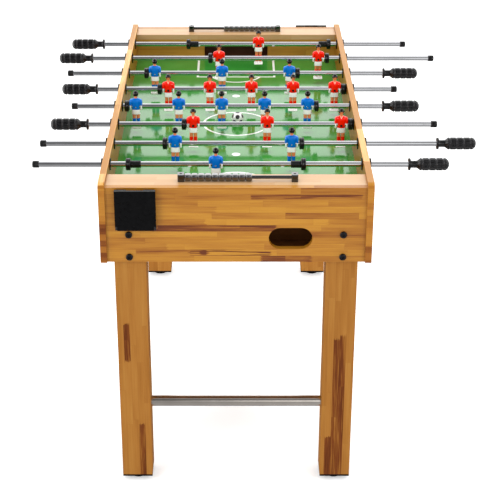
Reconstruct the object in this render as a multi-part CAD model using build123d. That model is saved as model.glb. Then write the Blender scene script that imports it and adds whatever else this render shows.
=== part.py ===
from build123d import *
import os

# Foosball table: a laminated-wood cabinet on four square legs, with eight chrome rods that slide
# and spin, rows of moulded men, two bead scorers, two fold-down cup trays and a ball.
# Axes: X runs along the rods, Y along the table, Z up. The origin is on the floor, under the
# middle of the table. Every size is in millimetres.

# ---- Cabinet ----
table_length = 1219.0
table_width = 610.0
table_height = 796.0
board = 15.0                # thickness of side walls, end panels and rails
side_height = 192.0
side_corner_radius = 15.0
end_panel_inset = 6.0       # end panels sit this far inside the side walls' ends
end_panel_drop = 10.5       # and this far below their top edge
rail_depth = 77.0           # end panel and rail board together, seen from above
field_height = 708.0
field_thickness = 12.0
inner_board = 12.0          # goal walls, goal box cheeks
batten = 15.0               # strips that carry the playfield

# ---- Goals and ball return ----
goal_width = 185.0
goal_height = 47.0
goal_box_half = 190.0
goal_box_floor = 626.0
goal_box_floor_thickness = 8.0
slot_width = 98.0
slot_height = 52.0
slot_x = 122.0
slot_z = 662.0

# ---- Legs ----
leg_width = 72.0
leg_depth = 68.0
leg_outer_x = 276.0
leg_wall = 12.0
leg_bottom = 17.0
leg_top = 694.0
cap_thickness = 5.0
cap_plug = 15.0
leveler_radius = 19.0
leveler_foot = 11.7
leveler_stem_radius = 5.0
leveler_stem_top = 46.0
cross_bar_radius = 12.7
cross_bar_bore = 11.2
cross_bar_z = 207.0
cross_bar_socket = 8.0
bolt_x = 240.0
bolt_heights = (616.5, 671.5)
bolt_head_radius = 8.0
bolt_head = 4.5
bolt_shank_radius = 4.0
bolt_shank = 33.0
bolt_hole_radius = 4.3

# ---- Rods ----
rod_radius = 6.35
rod_pitch = 129.6
rod_z = 780.0
running_gap = 0.06          # radial clearance of every running fit
bearing_radius = 10.0
bearing_flange_radius = 14.0
inner_flange = 2.5
outer_flange = 4.5
sleeve_radius = 8.0
stop_gap = 0.3              # left between a bumper and a bearing at the end of the slide
handle_standoff = 50.5      # from bearing to handle when a rod is pushed right in
cap_standoff = 16.5         # from bearing to end cap when a rod is pulled right out

# ---- Pieces on the rods ----
bumper_radius = 14.3
bumper_length = 12.0
collar_radius = 8.5
collar_length = 23.0
end_cap_radius = 8.25
end_cap_length = 15.5
handle_length = 94.0
handle_flange_radius = 14.0
handle_flange = 5.0
handle_neck_radius = 8.5
handle_neck_end = 20.5
grip_radius = 14.5
grip_start = 28.5
grip_groove = 1.5
grip_rings = (31.8, 47.7, 63.6, 79.5)   # grooves round the grip, from the handle's inner face
grip_rows = 16                          # grooves along the grip

# ---- Scorers ----
scorer_y = 563.0
scorer_offset = 4.0
post_length = 15.0
post_depth = 18.0
post_height = 17.0
post_inner = 119.2
wire_radius = 4.0
bead_pitch = 15.1
bead_length = 14.9
bead_depth = 18.0
bead_height = 15.0
bead_count = 10
bead_bore = 4.06
scorer_axis_z = 794.0

# ---- Cup trays ----
tray_x = -223.0
tray_width = 91.0
tray_bottom = 688.0
tray_top = 783.0
tray_thickness = 11.2
bracket_thickness = 3.7
bracket_gap = 0.4
hinge_z = 691.5
hinge_from_bracket = 3.8
hinge_pin_radius = 1.5
ear_length = 4.5
recess_radius = 35.0
recess_depth = 8.0
far_tray_lift = 4.0         # the far tray is mounted a little higher

# ---- Ball ----
ball_radius = 15.5
ball_x = 4.0

# Each rod: figures on it, team, where along X it stands, and how much further out than the usual
# standoff its handle is pushed on. Blue rods have their handle at +X and attack towards +Y; red
# rods are the same assembly turned half round.
men_by_kind = {
    "goalie": (0.0,),
    "two": (-138.5, 138.5),
    "three": (-182.0, 0.0, 182.0),
    "five": (-218.2, -109.1, 0.0, 109.1, 218.2),
}
half_span_by_kind = {"goalie": 207.0, "two": 168.5, "three": 210.6, "five": 246.8}
rods = (
    ("goalie", "blue", -46.4, 1.5),
    ("two", "blue", -6.4, 4.2),
    ("three", "red", 76.6, 2.8),
    ("five", "blue", -36.5, 7.4),
    ("five", "red", 40.4, 3.1),
    ("three", "blue", -37.9, -1.9),
    ("two", "red", 90.9, 11.2),
    ("goalie", "red", 64.5, 1.6),
)

# ---- Derived planes ----
half_length = table_length / 2
half_width = table_width / 2
inner_x = half_width - board
side_bottom = table_height - side_height
end_outer = half_length - end_panel_inset
end_inner = end_outer - board
end_top = table_height - end_panel_drop
goal_wall_face = end_outer - rail_depth
goal_wall_back = goal_wall_face + inner_board
rail_bottom = end_top - board
field_bottom = field_height - field_thickness
leg_inner_x = leg_outer_x - leg_width
leg_inner_y = end_inner - leg_depth
bearing_inner_x = inner_x - inner_flange
bearing_outer_x = half_width + outer_flange


def block(x0, x1, y0, y1, z0, z1):
    """A box between two corners."""
    middle = Pos((x0 + x1) / 2, (y0 + y1) / 2, (z0 + z1) / 2)
    return middle * Box(abs(x1 - x0), abs(y1 - y0), abs(z1 - z0))


def bar_x(radius, x0, x1, y=0.0, z=0.0):
    """A round bar along X."""
    return Pos((x0 + x1) / 2, y, z) * Rot(0, 90, 0) * Cylinder(radius, abs(x1 - x0))


def bar_y(radius, y0, y1, x=0.0, z=0.0):
    """A round bar along Y."""
    return Pos(x, (y0 + y1) / 2, z) * Rot(90, 0, 0) * Cylinder(radius, abs(y1 - y0))


def bar_z(radius, z0, z1, x=0.0, y=0.0):
    """A round bar along Z."""
    return Pos(x, y, (z0 + z1) / 2) * Cylinder(radius, abs(z1 - z0))


def turned(shape):
    """The same piece at the other end of the table, half a turn about the vertical axis."""
    return Rot(0, 0, 180) * shape


def both_ends(shape):
    return [shape, turned(shape)]


def solids_of(shapes):
    found = []
    for shape in shapes:
        found.extend(shape.solids())
    return found


def save(name, shapes):
    """Write one named piece; a piece may hold several separate solids."""
    parts = solids_of(shapes)
    whole = parts[0] if len(parts) == 1 else Compound(children=parts)
    whole.label = name
    export_step(whole, f"parts/{name}.step")


def rod_y(number):
    return (number - 4.5) * rod_pitch


# ---------------------------------------------------------------- cabinet

def side_panel():
    panel = block(inner_x, half_width, -half_length, half_length, side_bottom, table_height)
    top_corners = panel.edges().filter_by(Axis.X).group_by(Axis.Z)[-1]
    panel = fillet(top_corners, side_corner_radius)
    for number in range(1, 9):
        panel -= bar_x(bearing_radius, inner_x - 1, half_width + 1, rod_y(number), rod_z)
    return panel


def end_panel():
    panel = block(-inner_x, inner_x, -end_outer, -end_inner, side_bottom, end_top)
    slot = SlotOverall(slot_width, slot_height)
    cutter = Pos(slot_x, -end_inner + 1, slot_z) * Rot(90, 0, 0) * extrude(slot, board + 2)
    panel -= cutter
    for side in (-1, 1):
        for height in bolt_heights:
            panel -= bar_y(bolt_hole_radius, -end_outer - 1, -end_inner + 1, side * bolt_x, height)
    return panel


def rail():
    return block(-inner_x, inner_x, -end_inner, -goal_wall_face, rail_bottom, end_top)


def goal_wall():
    """Wall behind the goal line: full width above the field, narrower between the legs."""
    gap = 2.0
    low_half = leg_inner_x - gap
    floor_bottom = goal_box_floor - goal_box_floor_thickness
    wall = block(-inner_x, inner_x, -goal_wall_back, -goal_wall_face, field_bottom, rail_bottom)
    wall += block(-low_half, low_half, -goal_wall_back, -goal_wall_face, floor_bottom, field_bottom)
    mouth_top = field_height + goal_height
    wall -= block(
        -goal_width / 2, goal_width / 2,
        -goal_wall_back - 1, -goal_wall_face + 1,
        field_height, mouth_top,
    )
    return wall


def goal_box():
    """Floor and two cheeks that catch the ball between goal wall and end panel."""
    low_half = leg_inner_x - 2.0
    floor_bottom = goal_box_floor - goal_box_floor_thickness
    floor = block(-low_half, low_half, -end_inner, -goal_wall_back, floor_bottom, goal_box_floor)
    pieces = [floor]
    for side in (-1, 1):
        inner = side * goal_box_half
        outer = side * (goal_box_half + inner_board)
        pieces.append(block(inner, outer, -end_inner, -goal_wall_back, goal_box_floor, rail_bottom))
    return pieces


def field_battens():
    strips = []
    for side in (-1, 1):
        x0 = side * (inner_x - batten)
        x1 = side * inner_x
        reach = leg_inner_y - 10.0
        strips.append(block(x0, x1, -reach, reach, field_bottom - batten, field_bottom))
    return strips


def playfield():
    return block(-inner_x, inner_x, -goal_wall_face, goal_wall_face, field_bottom, field_height)


# ---------------------------------------------------------------- legs

def leg():
    """Hollow square leg at the +X side of the near end."""
    tube = block(leg_inner_x, leg_outer_x, -end_inner, -leg_inner_y, leg_bottom, leg_top)
    tube -= block(
        leg_inner_x + leg_wall, leg_outer_x - leg_wall,
        -end_inner + leg_wall, -leg_inner_y - leg_wall,
        leg_bottom - 1, leg_top + 1,
    )
    for height in bolt_heights:
        tube -= bar_y(bolt_hole_radius, -end_inner - 1, -end_inner + leg_wall + 1, bolt_x, height)
    middle_y = -(end_inner + leg_inner_y) / 2
    tube -= bar_x(
        cross_bar_radius + 0.05, leg_inner_x - 1, leg_inner_x + cross_bar_socket,
        middle_y, cross_bar_z,
    )
    return tube


def leg_cap():
    """Plate and plug that close the foot of a leg and carry the leveler."""
    slack = 0.2
    middle_x = (leg_inner_x + leg_outer_x) / 2
    middle_y = -(end_inner + leg_inner_y) / 2
    plate = block(
        leg_inner_x, leg_outer_x, -end_inner, -leg_inner_y,
        leg_bottom - cap_thickness, leg_bottom,
    )
    plug = block(
        leg_inner_x + leg_wall + slack, leg_outer_x - leg_wall - slack,
        -end_inner + leg_wall + slack, -leg_inner_y - leg_wall - slack,
        leg_bottom, leg_bottom + cap_plug,
    )
    cap = plate + plug
    cap -= bar_z(leveler_stem_radius + running_gap, 0, 60, middle_x, middle_y)
    return cap


def leveler():
    middle_x = (leg_inner_x + leg_outer_x) / 2
    middle_y = -(end_inner + leg_inner_y) / 2
    foot = bar_z(leveler_radius, 0, leveler_foot, middle_x, middle_y)
    top_rim = foot.edges().group_by(Axis.Z)[-1]
    foot = chamfer(top_rim, 3.0)
    return foot + bar_z(leveler_stem_radius, leveler_foot, leveler_stem_top, middle_x, middle_y)


def cross_bar():
    reach = leg_inner_x + cross_bar_socket
    middle_y = -(end_inner + leg_inner_y) / 2
    tube = bar_x(cross_bar_radius, -reach, reach, middle_y, cross_bar_z)
    return tube - bar_x(cross_bar_bore, -reach - 1, reach + 1, middle_y, cross_bar_z)


def leg_bolt(x, z):
    """Round-headed socket bolt through an end panel into a leg."""
    head = bar_y(bolt_head_radius, -end_outer - bolt_head, -end_outer, x, z)
    rim = head.edges().group_by(Axis.Y)[0]
    head = fillet(rim, 2.0)
    hexagon = RegularPolygon(3.2, 6)
    socket = Pos(x, -end_outer - bolt_head + 2.6, z) * Rot(90, 0, 0) * extrude(hexagon, 4)
    shank = bar_y(bolt_shank_radius, -end_outer, -end_outer + bolt_shank, x, z)
    return head - socket + shank


# ---------------------------------------------------------------- bearings

def bearing(number):
    """Fixed housing in the +X wall: barrel through the wall with a flange on each face."""
    y = rod_y(number)
    housing = bar_x(bearing_radius, bearing_inner_x, bearing_outer_x, y, rod_z)
    housing += bar_x(bearing_flange_radius, bearing_inner_x, inner_x, y, rod_z)
    housing += bar_x(bearing_flange_radius, half_width, bearing_outer_x, y, rod_z)
    housing -= bar_x(sleeve_radius + running_gap, inner_x - 10, half_width + 10, y, rod_z)
    return housing


def sleeve(number, side):
    """Bush that turns in the housing and lets the rod slide through it."""
    y = rod_y(number)
    x0 = side * (bearing_inner_x + 0.3)
    x1 = side * (bearing_outer_x - 0.3)
    tube = bar_x(sleeve_radius, x0, x1, y, rod_z)
    return tube - bar_x(rod_radius + running_gap, x0 - side, x1 + side, y, rod_z)


# ---------------------------------------------------------------- men

def shirt():
    outline = [
        (-11.0, -7.5), (11.0, -7.5), (11.8, 0.0), (13.4, 8.0), (15.8, 12.0),
        (14.6, 16.5), (10.0, 19.8), (4.0, 21.3), (-4.0, 21.3), (-10.0, 19.8),
        (-14.6, 16.5), (-15.8, 12.0), (-13.4, 8.0), (-11.8, 0.0),
    ]
    flat = Plane.XZ * Polygon(*outline, align=None)
    body = extrude(flat, 9.0, both=True)
    front = body.faces().sort_by(Axis.Y)[-1].edges()
    back = body.faces().sort_by(Axis.Y)[0].edges()
    return chamfer(front + back, 2.4)


def arm(side):
    """Arm that ends in a hand round the rod."""
    limb = block(side * 11.0, side * 16.4, -5.0, 5.0, 2.0, 16.0)
    hand = block(side * 11.0, side * 16.4, -7.9, 7.9, -9.6, 8.6)
    return fillet(limb.edges().filter_by(Axis.Z), 1.9) + fillet(hand.edges().filter_by(Axis.X), 3.5)


def man():
    """One figure, facing +Y, with the rod's axis through its chest at the origin."""
    figure = shirt()
    for side in (-1, 1):
        figure += arm(side)
    figure += bar_z(3.8, 18.0, 26.0)
    figure += bar_z(7.0, 30.6, 33.9)
    figure += Pos(0, 0, 33.9) * Sphere(7.0)
    figure += Pos(0, 0, 30.6) * Sphere(7.0)
    shorts = block(-10.8, 10.8, -7.6, 7.6, -20.0, -6.5)
    figure += fillet(shorts.edges().filter_by(Axis.Z), 3.0)
    for side in (-1, 1):
        shin = block(side * 0.5, side * 9.7, -5.4, 5.4, -54.0, -19.0)
        figure += fillet(shin.edges().filter_by(Axis.Z), 2.2)
    figure += block(-2.0, 2.0, -3.2, 3.2, -54.0, -19.0)
    side_view = [(-6.5, -60.0), (10.5, -60.0), (10.5, -56.0), (4.5, -52.5), (-6.5, -52.5)]
    foot = Plane.YZ * Polygon(*side_view, align=None)
    figure += extrude(foot, 12.2, both=True)
    figure -= bar_x(rod_radius, -25, 25)
    return figure


# ---------------------------------------------------------------- rubber and plastic on the rods

def ring(radius, length, rounding):
    """Ring on the rod, from 0 to its length along X."""
    body = bar_x(radius, 0, length)
    rims = body.edges().group_by(Axis.X)
    body = fillet(rims[0] + rims[-1], rounding)
    return body - bar_x(rod_radius, -1, length + 1)


def end_cap():
    """Closed cap: its mouth is at 0 and it reaches along -X."""
    body = bar_x(end_cap_radius, -end_cap_length, 0)
    body = fillet(body.edges().group_by(Axis.X)[0], 3.0)
    return body - bar_x(rod_radius, -end_cap_length + 3.0, 1)


def handle():
    """Turned handle: flange, neck and grip cut into pads, from 0 along +X."""
    end = handle_length
    outline = [
        (0.0, 0.0), (0.0, handle_flange_radius - 1.0), (1.0, handle_flange_radius),
        (handle_flange - 1.0, handle_flange_radius),
        (handle_flange, handle_flange_radius - 1.0), (handle_flange, handle_neck_radius),
        (handle_neck_end, handle_neck_radius), (grip_start, grip_radius),
    ]
    for middle in grip_rings:
        outline += [
            (middle - 1.3, grip_radius), (middle - 0.7, grip_radius - grip_groove),
            (middle + 0.7, grip_radius - grip_groove), (middle + 1.3, grip_radius),
        ]
    outline += [
        (end - 12.0, grip_radius), (end - 7.0, grip_radius - 1.5),
        (end - 3.2, grip_radius - 4.7), (end - 0.9, grip_radius - 8.9), (end, 0.0),
    ]
    body = revolve(make_face(Polyline(*outline, close=True)), Axis.X)
    floor = grip_radius - grip_groove + 0.3
    groove = block(handle_neck_end + 1.0, end, -0.8, 0.8, floor, grip_radius + 1.0)
    for row in range(grip_rows):
        body -= Rot(360.0 / grip_rows * (row + 0.5), 0, 0) * groove
    return body - bar_x(rod_radius, -1, 80)


# ---------------------------------------------------------------- scorers

def scorer_frame():
    """Two posts and the wire between them, on the near rail."""
    axis_x = scorer_offset
    foot = end_top
    pieces = bar_x(wire_radius, axis_x - post_inner - 5, axis_x + post_inner + 5,
                   -scorer_y, scorer_axis_z)
    for side in (-1, 1):
        x0 = axis_x + side * post_inner
        x1 = x0 + side * post_length
        post = block(x0, x1, -scorer_y - post_depth / 2, -scorer_y + post_depth / 2,
                     foot, foot + post_height)
        post = fillet(post.edges().filter_by(Axis.Z), 2.5)
        middle = (x0 + x1) / 2
        post -= bar_z(2.8, foot + post_height - 2.0, foot + post_height + 1, middle, -scorer_y)
        pieces += post
    return pieces


def bead(x):
    """Rounded counting block on the wire."""
    low = scorer_axis_z - bead_height / 2
    high = scorer_axis_z + bead_height / 2
    body = block(x, x + bead_length, -scorer_y - bead_depth / 2, -scorer_y + bead_depth / 2,
                 low, high)
    body = fillet(body.edges().filter_by(Axis.X), 3.5)
    return body - bar_x(bead_bore, x - 1, x + bead_length + 1, -scorer_y, scorer_axis_z)


def scorer_beads():
    start = scorer_offset - post_inner + 0.3
    return [bead(start + index * bead_pitch) for index in range(bead_count)]


# ---------------------------------------------------------------- cup trays

tray_face = end_outer + bracket_thickness           # bracket's outer face, as a distance along -Y
tray_back = tray_face + bracket_gap
tray_front = tray_back + tray_thickness
hinge_y = -(tray_face + hinge_from_bracket)
tray_left = tray_x - tray_width / 2
tray_right = tray_x + tray_width / 2


def tray_bracket():
    """Plate screwed to the end panel, with two ears that hold the tray's hinge pegs."""
    plate = block(tray_left + 2, tray_right - 2, -end_outer, -tray_face, tray_bottom, tray_top - 4)
    for edge, side in ((tray_left, 1), (tray_right, -1)):
        ear = block(edge, edge + side * ear_length, -end_outer, hinge_y - 3.5,
                    hinge_z - 4.4, hinge_z + 4.4)
        plate += ear
    for edge, side in ((tray_left, 1), (tray_right, -1)):
        plate -= bar_x(hinge_pin_radius + running_gap, edge - side, edge + side * (ear_length + 1),
                       hinge_y, hinge_z)
    return plate


def cup_tray():
    """Tray folded flat against the end panel, with its round cup seat facing the panel."""
    body = block(tray_left, tray_right, -tray_front, -tray_back, tray_bottom, tray_top)
    low_edges = body.edges().filter_by(Axis.X).group_by(Axis.Z)[0]
    body = fillet(low_edges.sort_by(Axis.Y)[-1], 3.3)
    for edge, side in ((tray_left, 1), (tray_right, -1)):
        body -= block(edge - side, edge + side * (ear_length + 0.3), -tray_front - 1, -tray_back + 1,
                      tray_bottom - 1, hinge_z + 6.5)
    body -= bar_y(recess_radius, -tray_back - recess_depth, -tray_back + 1,
                  tray_x, (tray_bottom + tray_top) / 2)
    notch = [(-20.5, 1.0), (-18.0, -5.0), (18.0, -5.0), (20.5, 1.0)]
    flat = Polygon(*notch, align=None)
    body -= Pos(tray_x, -tray_back, tray_top - 6.0) * extrude(flat, 7.0)
    for edge, side in ((tray_left, 1), (tray_right, -1)):
        inner = edge + side * (ear_length + 2.0)
        body += bar_x(hinge_pin_radius, edge + side * 0.5, inner, hinge_y, hinge_z)
    return body


# ---------------------------------------------------------------- write every piece

os.makedirs("parts", exist_ok=True)

save("side_panels", both_ends(side_panel()))
save("end_panels", both_ends(end_panel()))
save("top_rails", both_ends(rail()))
inner_boards = both_ends(goal_wall())
for piece in goal_box():
    inner_boards += both_ends(piece)
save("inner_boards", inner_boards + field_battens())
save("playfield", [playfield()])

near_right_leg = leg()
near_left_leg = mirror(near_right_leg, about=Plane.YZ)
save("legs", both_ends(near_right_leg) + both_ends(near_left_leg))
near_right_cap = leg_cap()
near_left_cap = mirror(near_right_cap, about=Plane.YZ)
save("leg_caps", both_ends(near_right_cap) + both_ends(near_left_cap))
near_right_leveler = leveler()
near_left_leveler = mirror(near_right_leveler, about=Plane.YZ)
save("leveler_1", [near_left_leveler])
save("leveler_2", [near_right_leveler])
save("leveler_3", [turned(near_right_leveler)])
save("leveler_4", [turned(near_left_leveler)])
save("cross_bars", both_ends(cross_bar()))
bolts = []
for bolt_side in (-1, 1):
    for bolt_height in bolt_heights:
        bolts += both_ends(leg_bolt(bolt_side * bolt_x, bolt_height))
save("leg_bolts", bolts)

bearings = []
for rod_number in range(1, 9):
    bearings += both_ends(bearing(rod_number))
save("bearing_housings", bearings)

near_bracket = tray_bracket()
far_bracket = Pos(0, 0, far_tray_lift) * turned(near_bracket)
black_fittings = both_ends(scorer_frame()) + [near_bracket, far_bracket]
save("black_fittings", black_fittings)
beads = scorer_beads()
save("score_beads_near", beads)
save("score_beads_far", [turned(item) for item in beads])
near_tray = cup_tray()
save("cup_tray_near", [near_tray])
save("cup_tray_far", [Pos(0, 0, far_tray_lift) * turned(near_tray)])
save("ball", [Pos(ball_x, 0, field_height + ball_radius + stop_gap) * Sphere(ball_radius)])

one_man = man()
one_handle = handle()
one_bumper = ring(bumper_radius, bumper_length, 2.0)
one_collar = ring(collar_radius, collar_length, 1.0)
one_cap = end_cap()

for rod_number, (kind, team, offset, handle_shift) in enumerate(rods, start=1):
    name = f"rod_{rod_number}"
    half_span = half_span_by_kind[kind]
    half_travel = bearing_inner_x - stop_gap - half_span
    handle_x = bearing_outer_x + handle_standoff + half_travel + handle_shift
    cap_x = -(bearing_outer_x + cap_standoff + half_travel)
    place = Pos(offset, rod_y(rod_number), rod_z)
    if team == "red":
        place = place * Rot(0, 0, 180)
    save(f"{name}_tube", [place * bar_x(rod_radius, cap_x - end_cap_length + 3.0, handle_x + 80)])
    save(f"{name}_men", [place * Pos(x, 0, 0) * one_man for x in men_by_kind[kind]])
    save(f"{name}_handle", [place * Pos(handle_x, 0, 0) * one_handle])
    rubber = []
    for side in (-1, 1):
        middle = side * (half_span - bumper_length / 2)
        rubber.append(place * Pos(middle - bumper_length / 2, 0, 0) * one_bumper)
        if kind == "goalie":
            inboard = side * (half_span - bumper_length - collar_length / 2)
            rubber.append(place * Pos(inboard - collar_length / 2, 0, 0) * one_collar)
    rubber.append(place * Pos(cap_x, 0, 0) * one_cap)
    save(f"{name}_bumpers", rubber)
    save(f"{name}_sleeves", [sleeve(rod_number, -1), sleeve(rod_number, 1)])
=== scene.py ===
import math

import bmesh
import bpy
from mathutils import Matrix, Vector


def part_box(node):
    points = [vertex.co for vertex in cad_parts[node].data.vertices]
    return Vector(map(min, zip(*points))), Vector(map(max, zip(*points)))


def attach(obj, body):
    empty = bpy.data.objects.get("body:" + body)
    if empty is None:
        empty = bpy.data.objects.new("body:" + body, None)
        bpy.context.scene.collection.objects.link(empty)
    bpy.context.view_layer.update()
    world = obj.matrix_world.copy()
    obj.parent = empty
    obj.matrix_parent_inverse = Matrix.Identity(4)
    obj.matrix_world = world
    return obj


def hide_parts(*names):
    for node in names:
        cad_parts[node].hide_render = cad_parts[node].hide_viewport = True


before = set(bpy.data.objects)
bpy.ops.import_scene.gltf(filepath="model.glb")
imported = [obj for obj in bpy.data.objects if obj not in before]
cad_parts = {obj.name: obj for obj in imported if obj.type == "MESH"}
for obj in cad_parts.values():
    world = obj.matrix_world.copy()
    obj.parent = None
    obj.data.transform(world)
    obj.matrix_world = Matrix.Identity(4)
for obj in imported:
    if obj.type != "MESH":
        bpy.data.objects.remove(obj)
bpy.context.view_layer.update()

# Foosball table. Axes as in the CAD: X along the rods, Y along the table, Z up, in metres. Where
# a piece goes is read from the boxes of CAD nodes; shapes and printed patterns are written here.
MM = 0.001

# Each rod from the near end: how many figures it carries, and their team.
RODS = (
    (1, "blue"), (2, "blue"), (3, "red"), (5, "blue"),
    (5, "red"), (3, "blue"), (2, "red"), (1, "red"),
)
FIGURE_HALF_WIDTH = 0.0164      # from the middle of a figure out to a hand
CAP_LENGTH = 0.0155
ROD_FIT = 6.4                   # inner radius of whatever is pushed onto a rod, mm
BALL_RADIUS = 0.0155


# ------------------------------------------------------------------ materials

def rgb(red, green, blue):
    """An sRGB colour, 0 to 255, as the linear values a shader takes."""
    out = []
    for c in (red, green, blue):
        c /= 255
        out.append(c / 12.92 if c <= 0.04045 else ((c + 0.055) / 1.055) ** 2.4)
    return (*out, 1.0)


class Finish:
    """A node material: a Principled shader fed by expressions of the piece's own coordinates."""

    def __init__(self, name, **sockets):
        self.material = bpy.data.materials.new(name)
        self.material.use_nodes = True
        self.tree = self.material.node_tree
        self.shader = self.tree.nodes["Principled BSDF"]
        place = self.tree.nodes.new("ShaderNodeTexCoord")
        self.point = place.outputs["Object"]
        self.normal = place.outputs["Normal"]
        for key, value in sockets.items():
            self.shader.inputs[key.replace("_", " ")].default_value = value

    def put(self, value, socket):
        if isinstance(value, bpy.types.NodeSocket):
            self.tree.links.new(value, socket)
        else:
            socket.default_value = value

    def feed(self, key, value):
        self.put(value, self.shader.inputs[key])

    def math(self, operation, *values):
        node = self.tree.nodes.new("ShaderNodeMath")
        node.operation = operation
        for value, socket in zip(values, node.inputs):
            self.put(value, socket)
        return node.outputs[0]

    def add(self, *v):
        total = v[0]
        for value in v[1:]:
            total = self.math("ADD", total, value)
        return total

    def times(self, *v):
        total = v[0]
        for value in v[1:]:
            total = self.math("MULTIPLY", total, value)
        return total

    def split(self, vector):
        node = self.tree.nodes.new("ShaderNodeSeparateXYZ")
        self.put(vector, node.inputs[0])
        return node.outputs[0], node.outputs[1], node.outputs[2]

    def join(self, x, y, z):
        node = self.tree.nodes.new("ShaderNodeCombineXYZ")
        for value, socket in zip((x, y, z), node.inputs):
            self.put(value, socket)
        return node.outputs[0]

    def noise(self, vector, scale, detail=2.0, roughness=0.5, distortion=0.0):
        node = self.tree.nodes.new("ShaderNodeTexNoise")
        self.put(vector, node.inputs["Vector"])
        node.inputs["Scale"].default_value = scale
        node.inputs["Detail"].default_value = detail
        node.inputs["Roughness"].default_value = roughness
        node.inputs["Distortion"].default_value = distortion
        return node.outputs[0]

    def chance(self, vector):
        node = self.tree.nodes.new("ShaderNodeTexWhiteNoise")
        node.noise_dimensions = "3D"
        self.put(vector, node.inputs["Vector"])
        return node.outputs["Value"]

    def ramp(self, factor, stops):
        node = self.tree.nodes.new("ShaderNodeValToRGB")
        elements = node.color_ramp.elements
        while len(elements) < len(stops):
            elements.new(0.5)
        for element, (position, colour) in zip(elements, stops):
            element.position = position
            element.color = colour
        self.put(factor, node.inputs[0])
        return node.outputs[0]

    def rescale(self, value, low, high, to_low, to_high, smooth=False):
        node = self.tree.nodes.new("ShaderNodeMapRange")
        if smooth:
            node.interpolation_type = "SMOOTHSTEP"
        for v, socket in zip((value, low, high, to_low, to_high), node.inputs):
            self.put(v, socket)
        return node.outputs[0]

    def mix(self, factor, a, b):
        """Colour a where factor is 0, b where it is 1."""
        node = self.tree.nodes.new("ShaderNodeMix")
        node.data_type = "RGBA"
        self.put(factor, node.inputs[0])
        self.put(a, node.inputs[6])
        self.put(b, node.inputs[7])
        return node.outputs[2]

    def choose(self, factor, a, b):
        """Number a where factor is 0, b where it is 1."""
        node = self.tree.nodes.new("ShaderNodeMix")
        self.put(factor, node.inputs[0])
        self.put(a, node.inputs[2])
        self.put(b, node.inputs[3])
        return node.outputs[0]

    def between(self, value, low, high):
        return self.times(
            self.math("GREATER_THAN", value, low), self.math("LESS_THAN", value, high)
        )

    def bump(self, height, strength, distance):
        node = self.tree.nodes.new("ShaderNodeBump")
        node.inputs["Strength"].default_value = strength
        node.inputs["Distance"].default_value = distance
        self.put(height, node.inputs["Height"])
        self.feed("Normal", node.outputs[0])


FACING = 0.7            # a face looks along an axis when its normal's part on it is above this
BOARD_STEP = 100.0      # keeps the row numbers of one board apart from the next one's
THIN_STREAK = 0.15      # a stated tone below this is a thin streak


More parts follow.
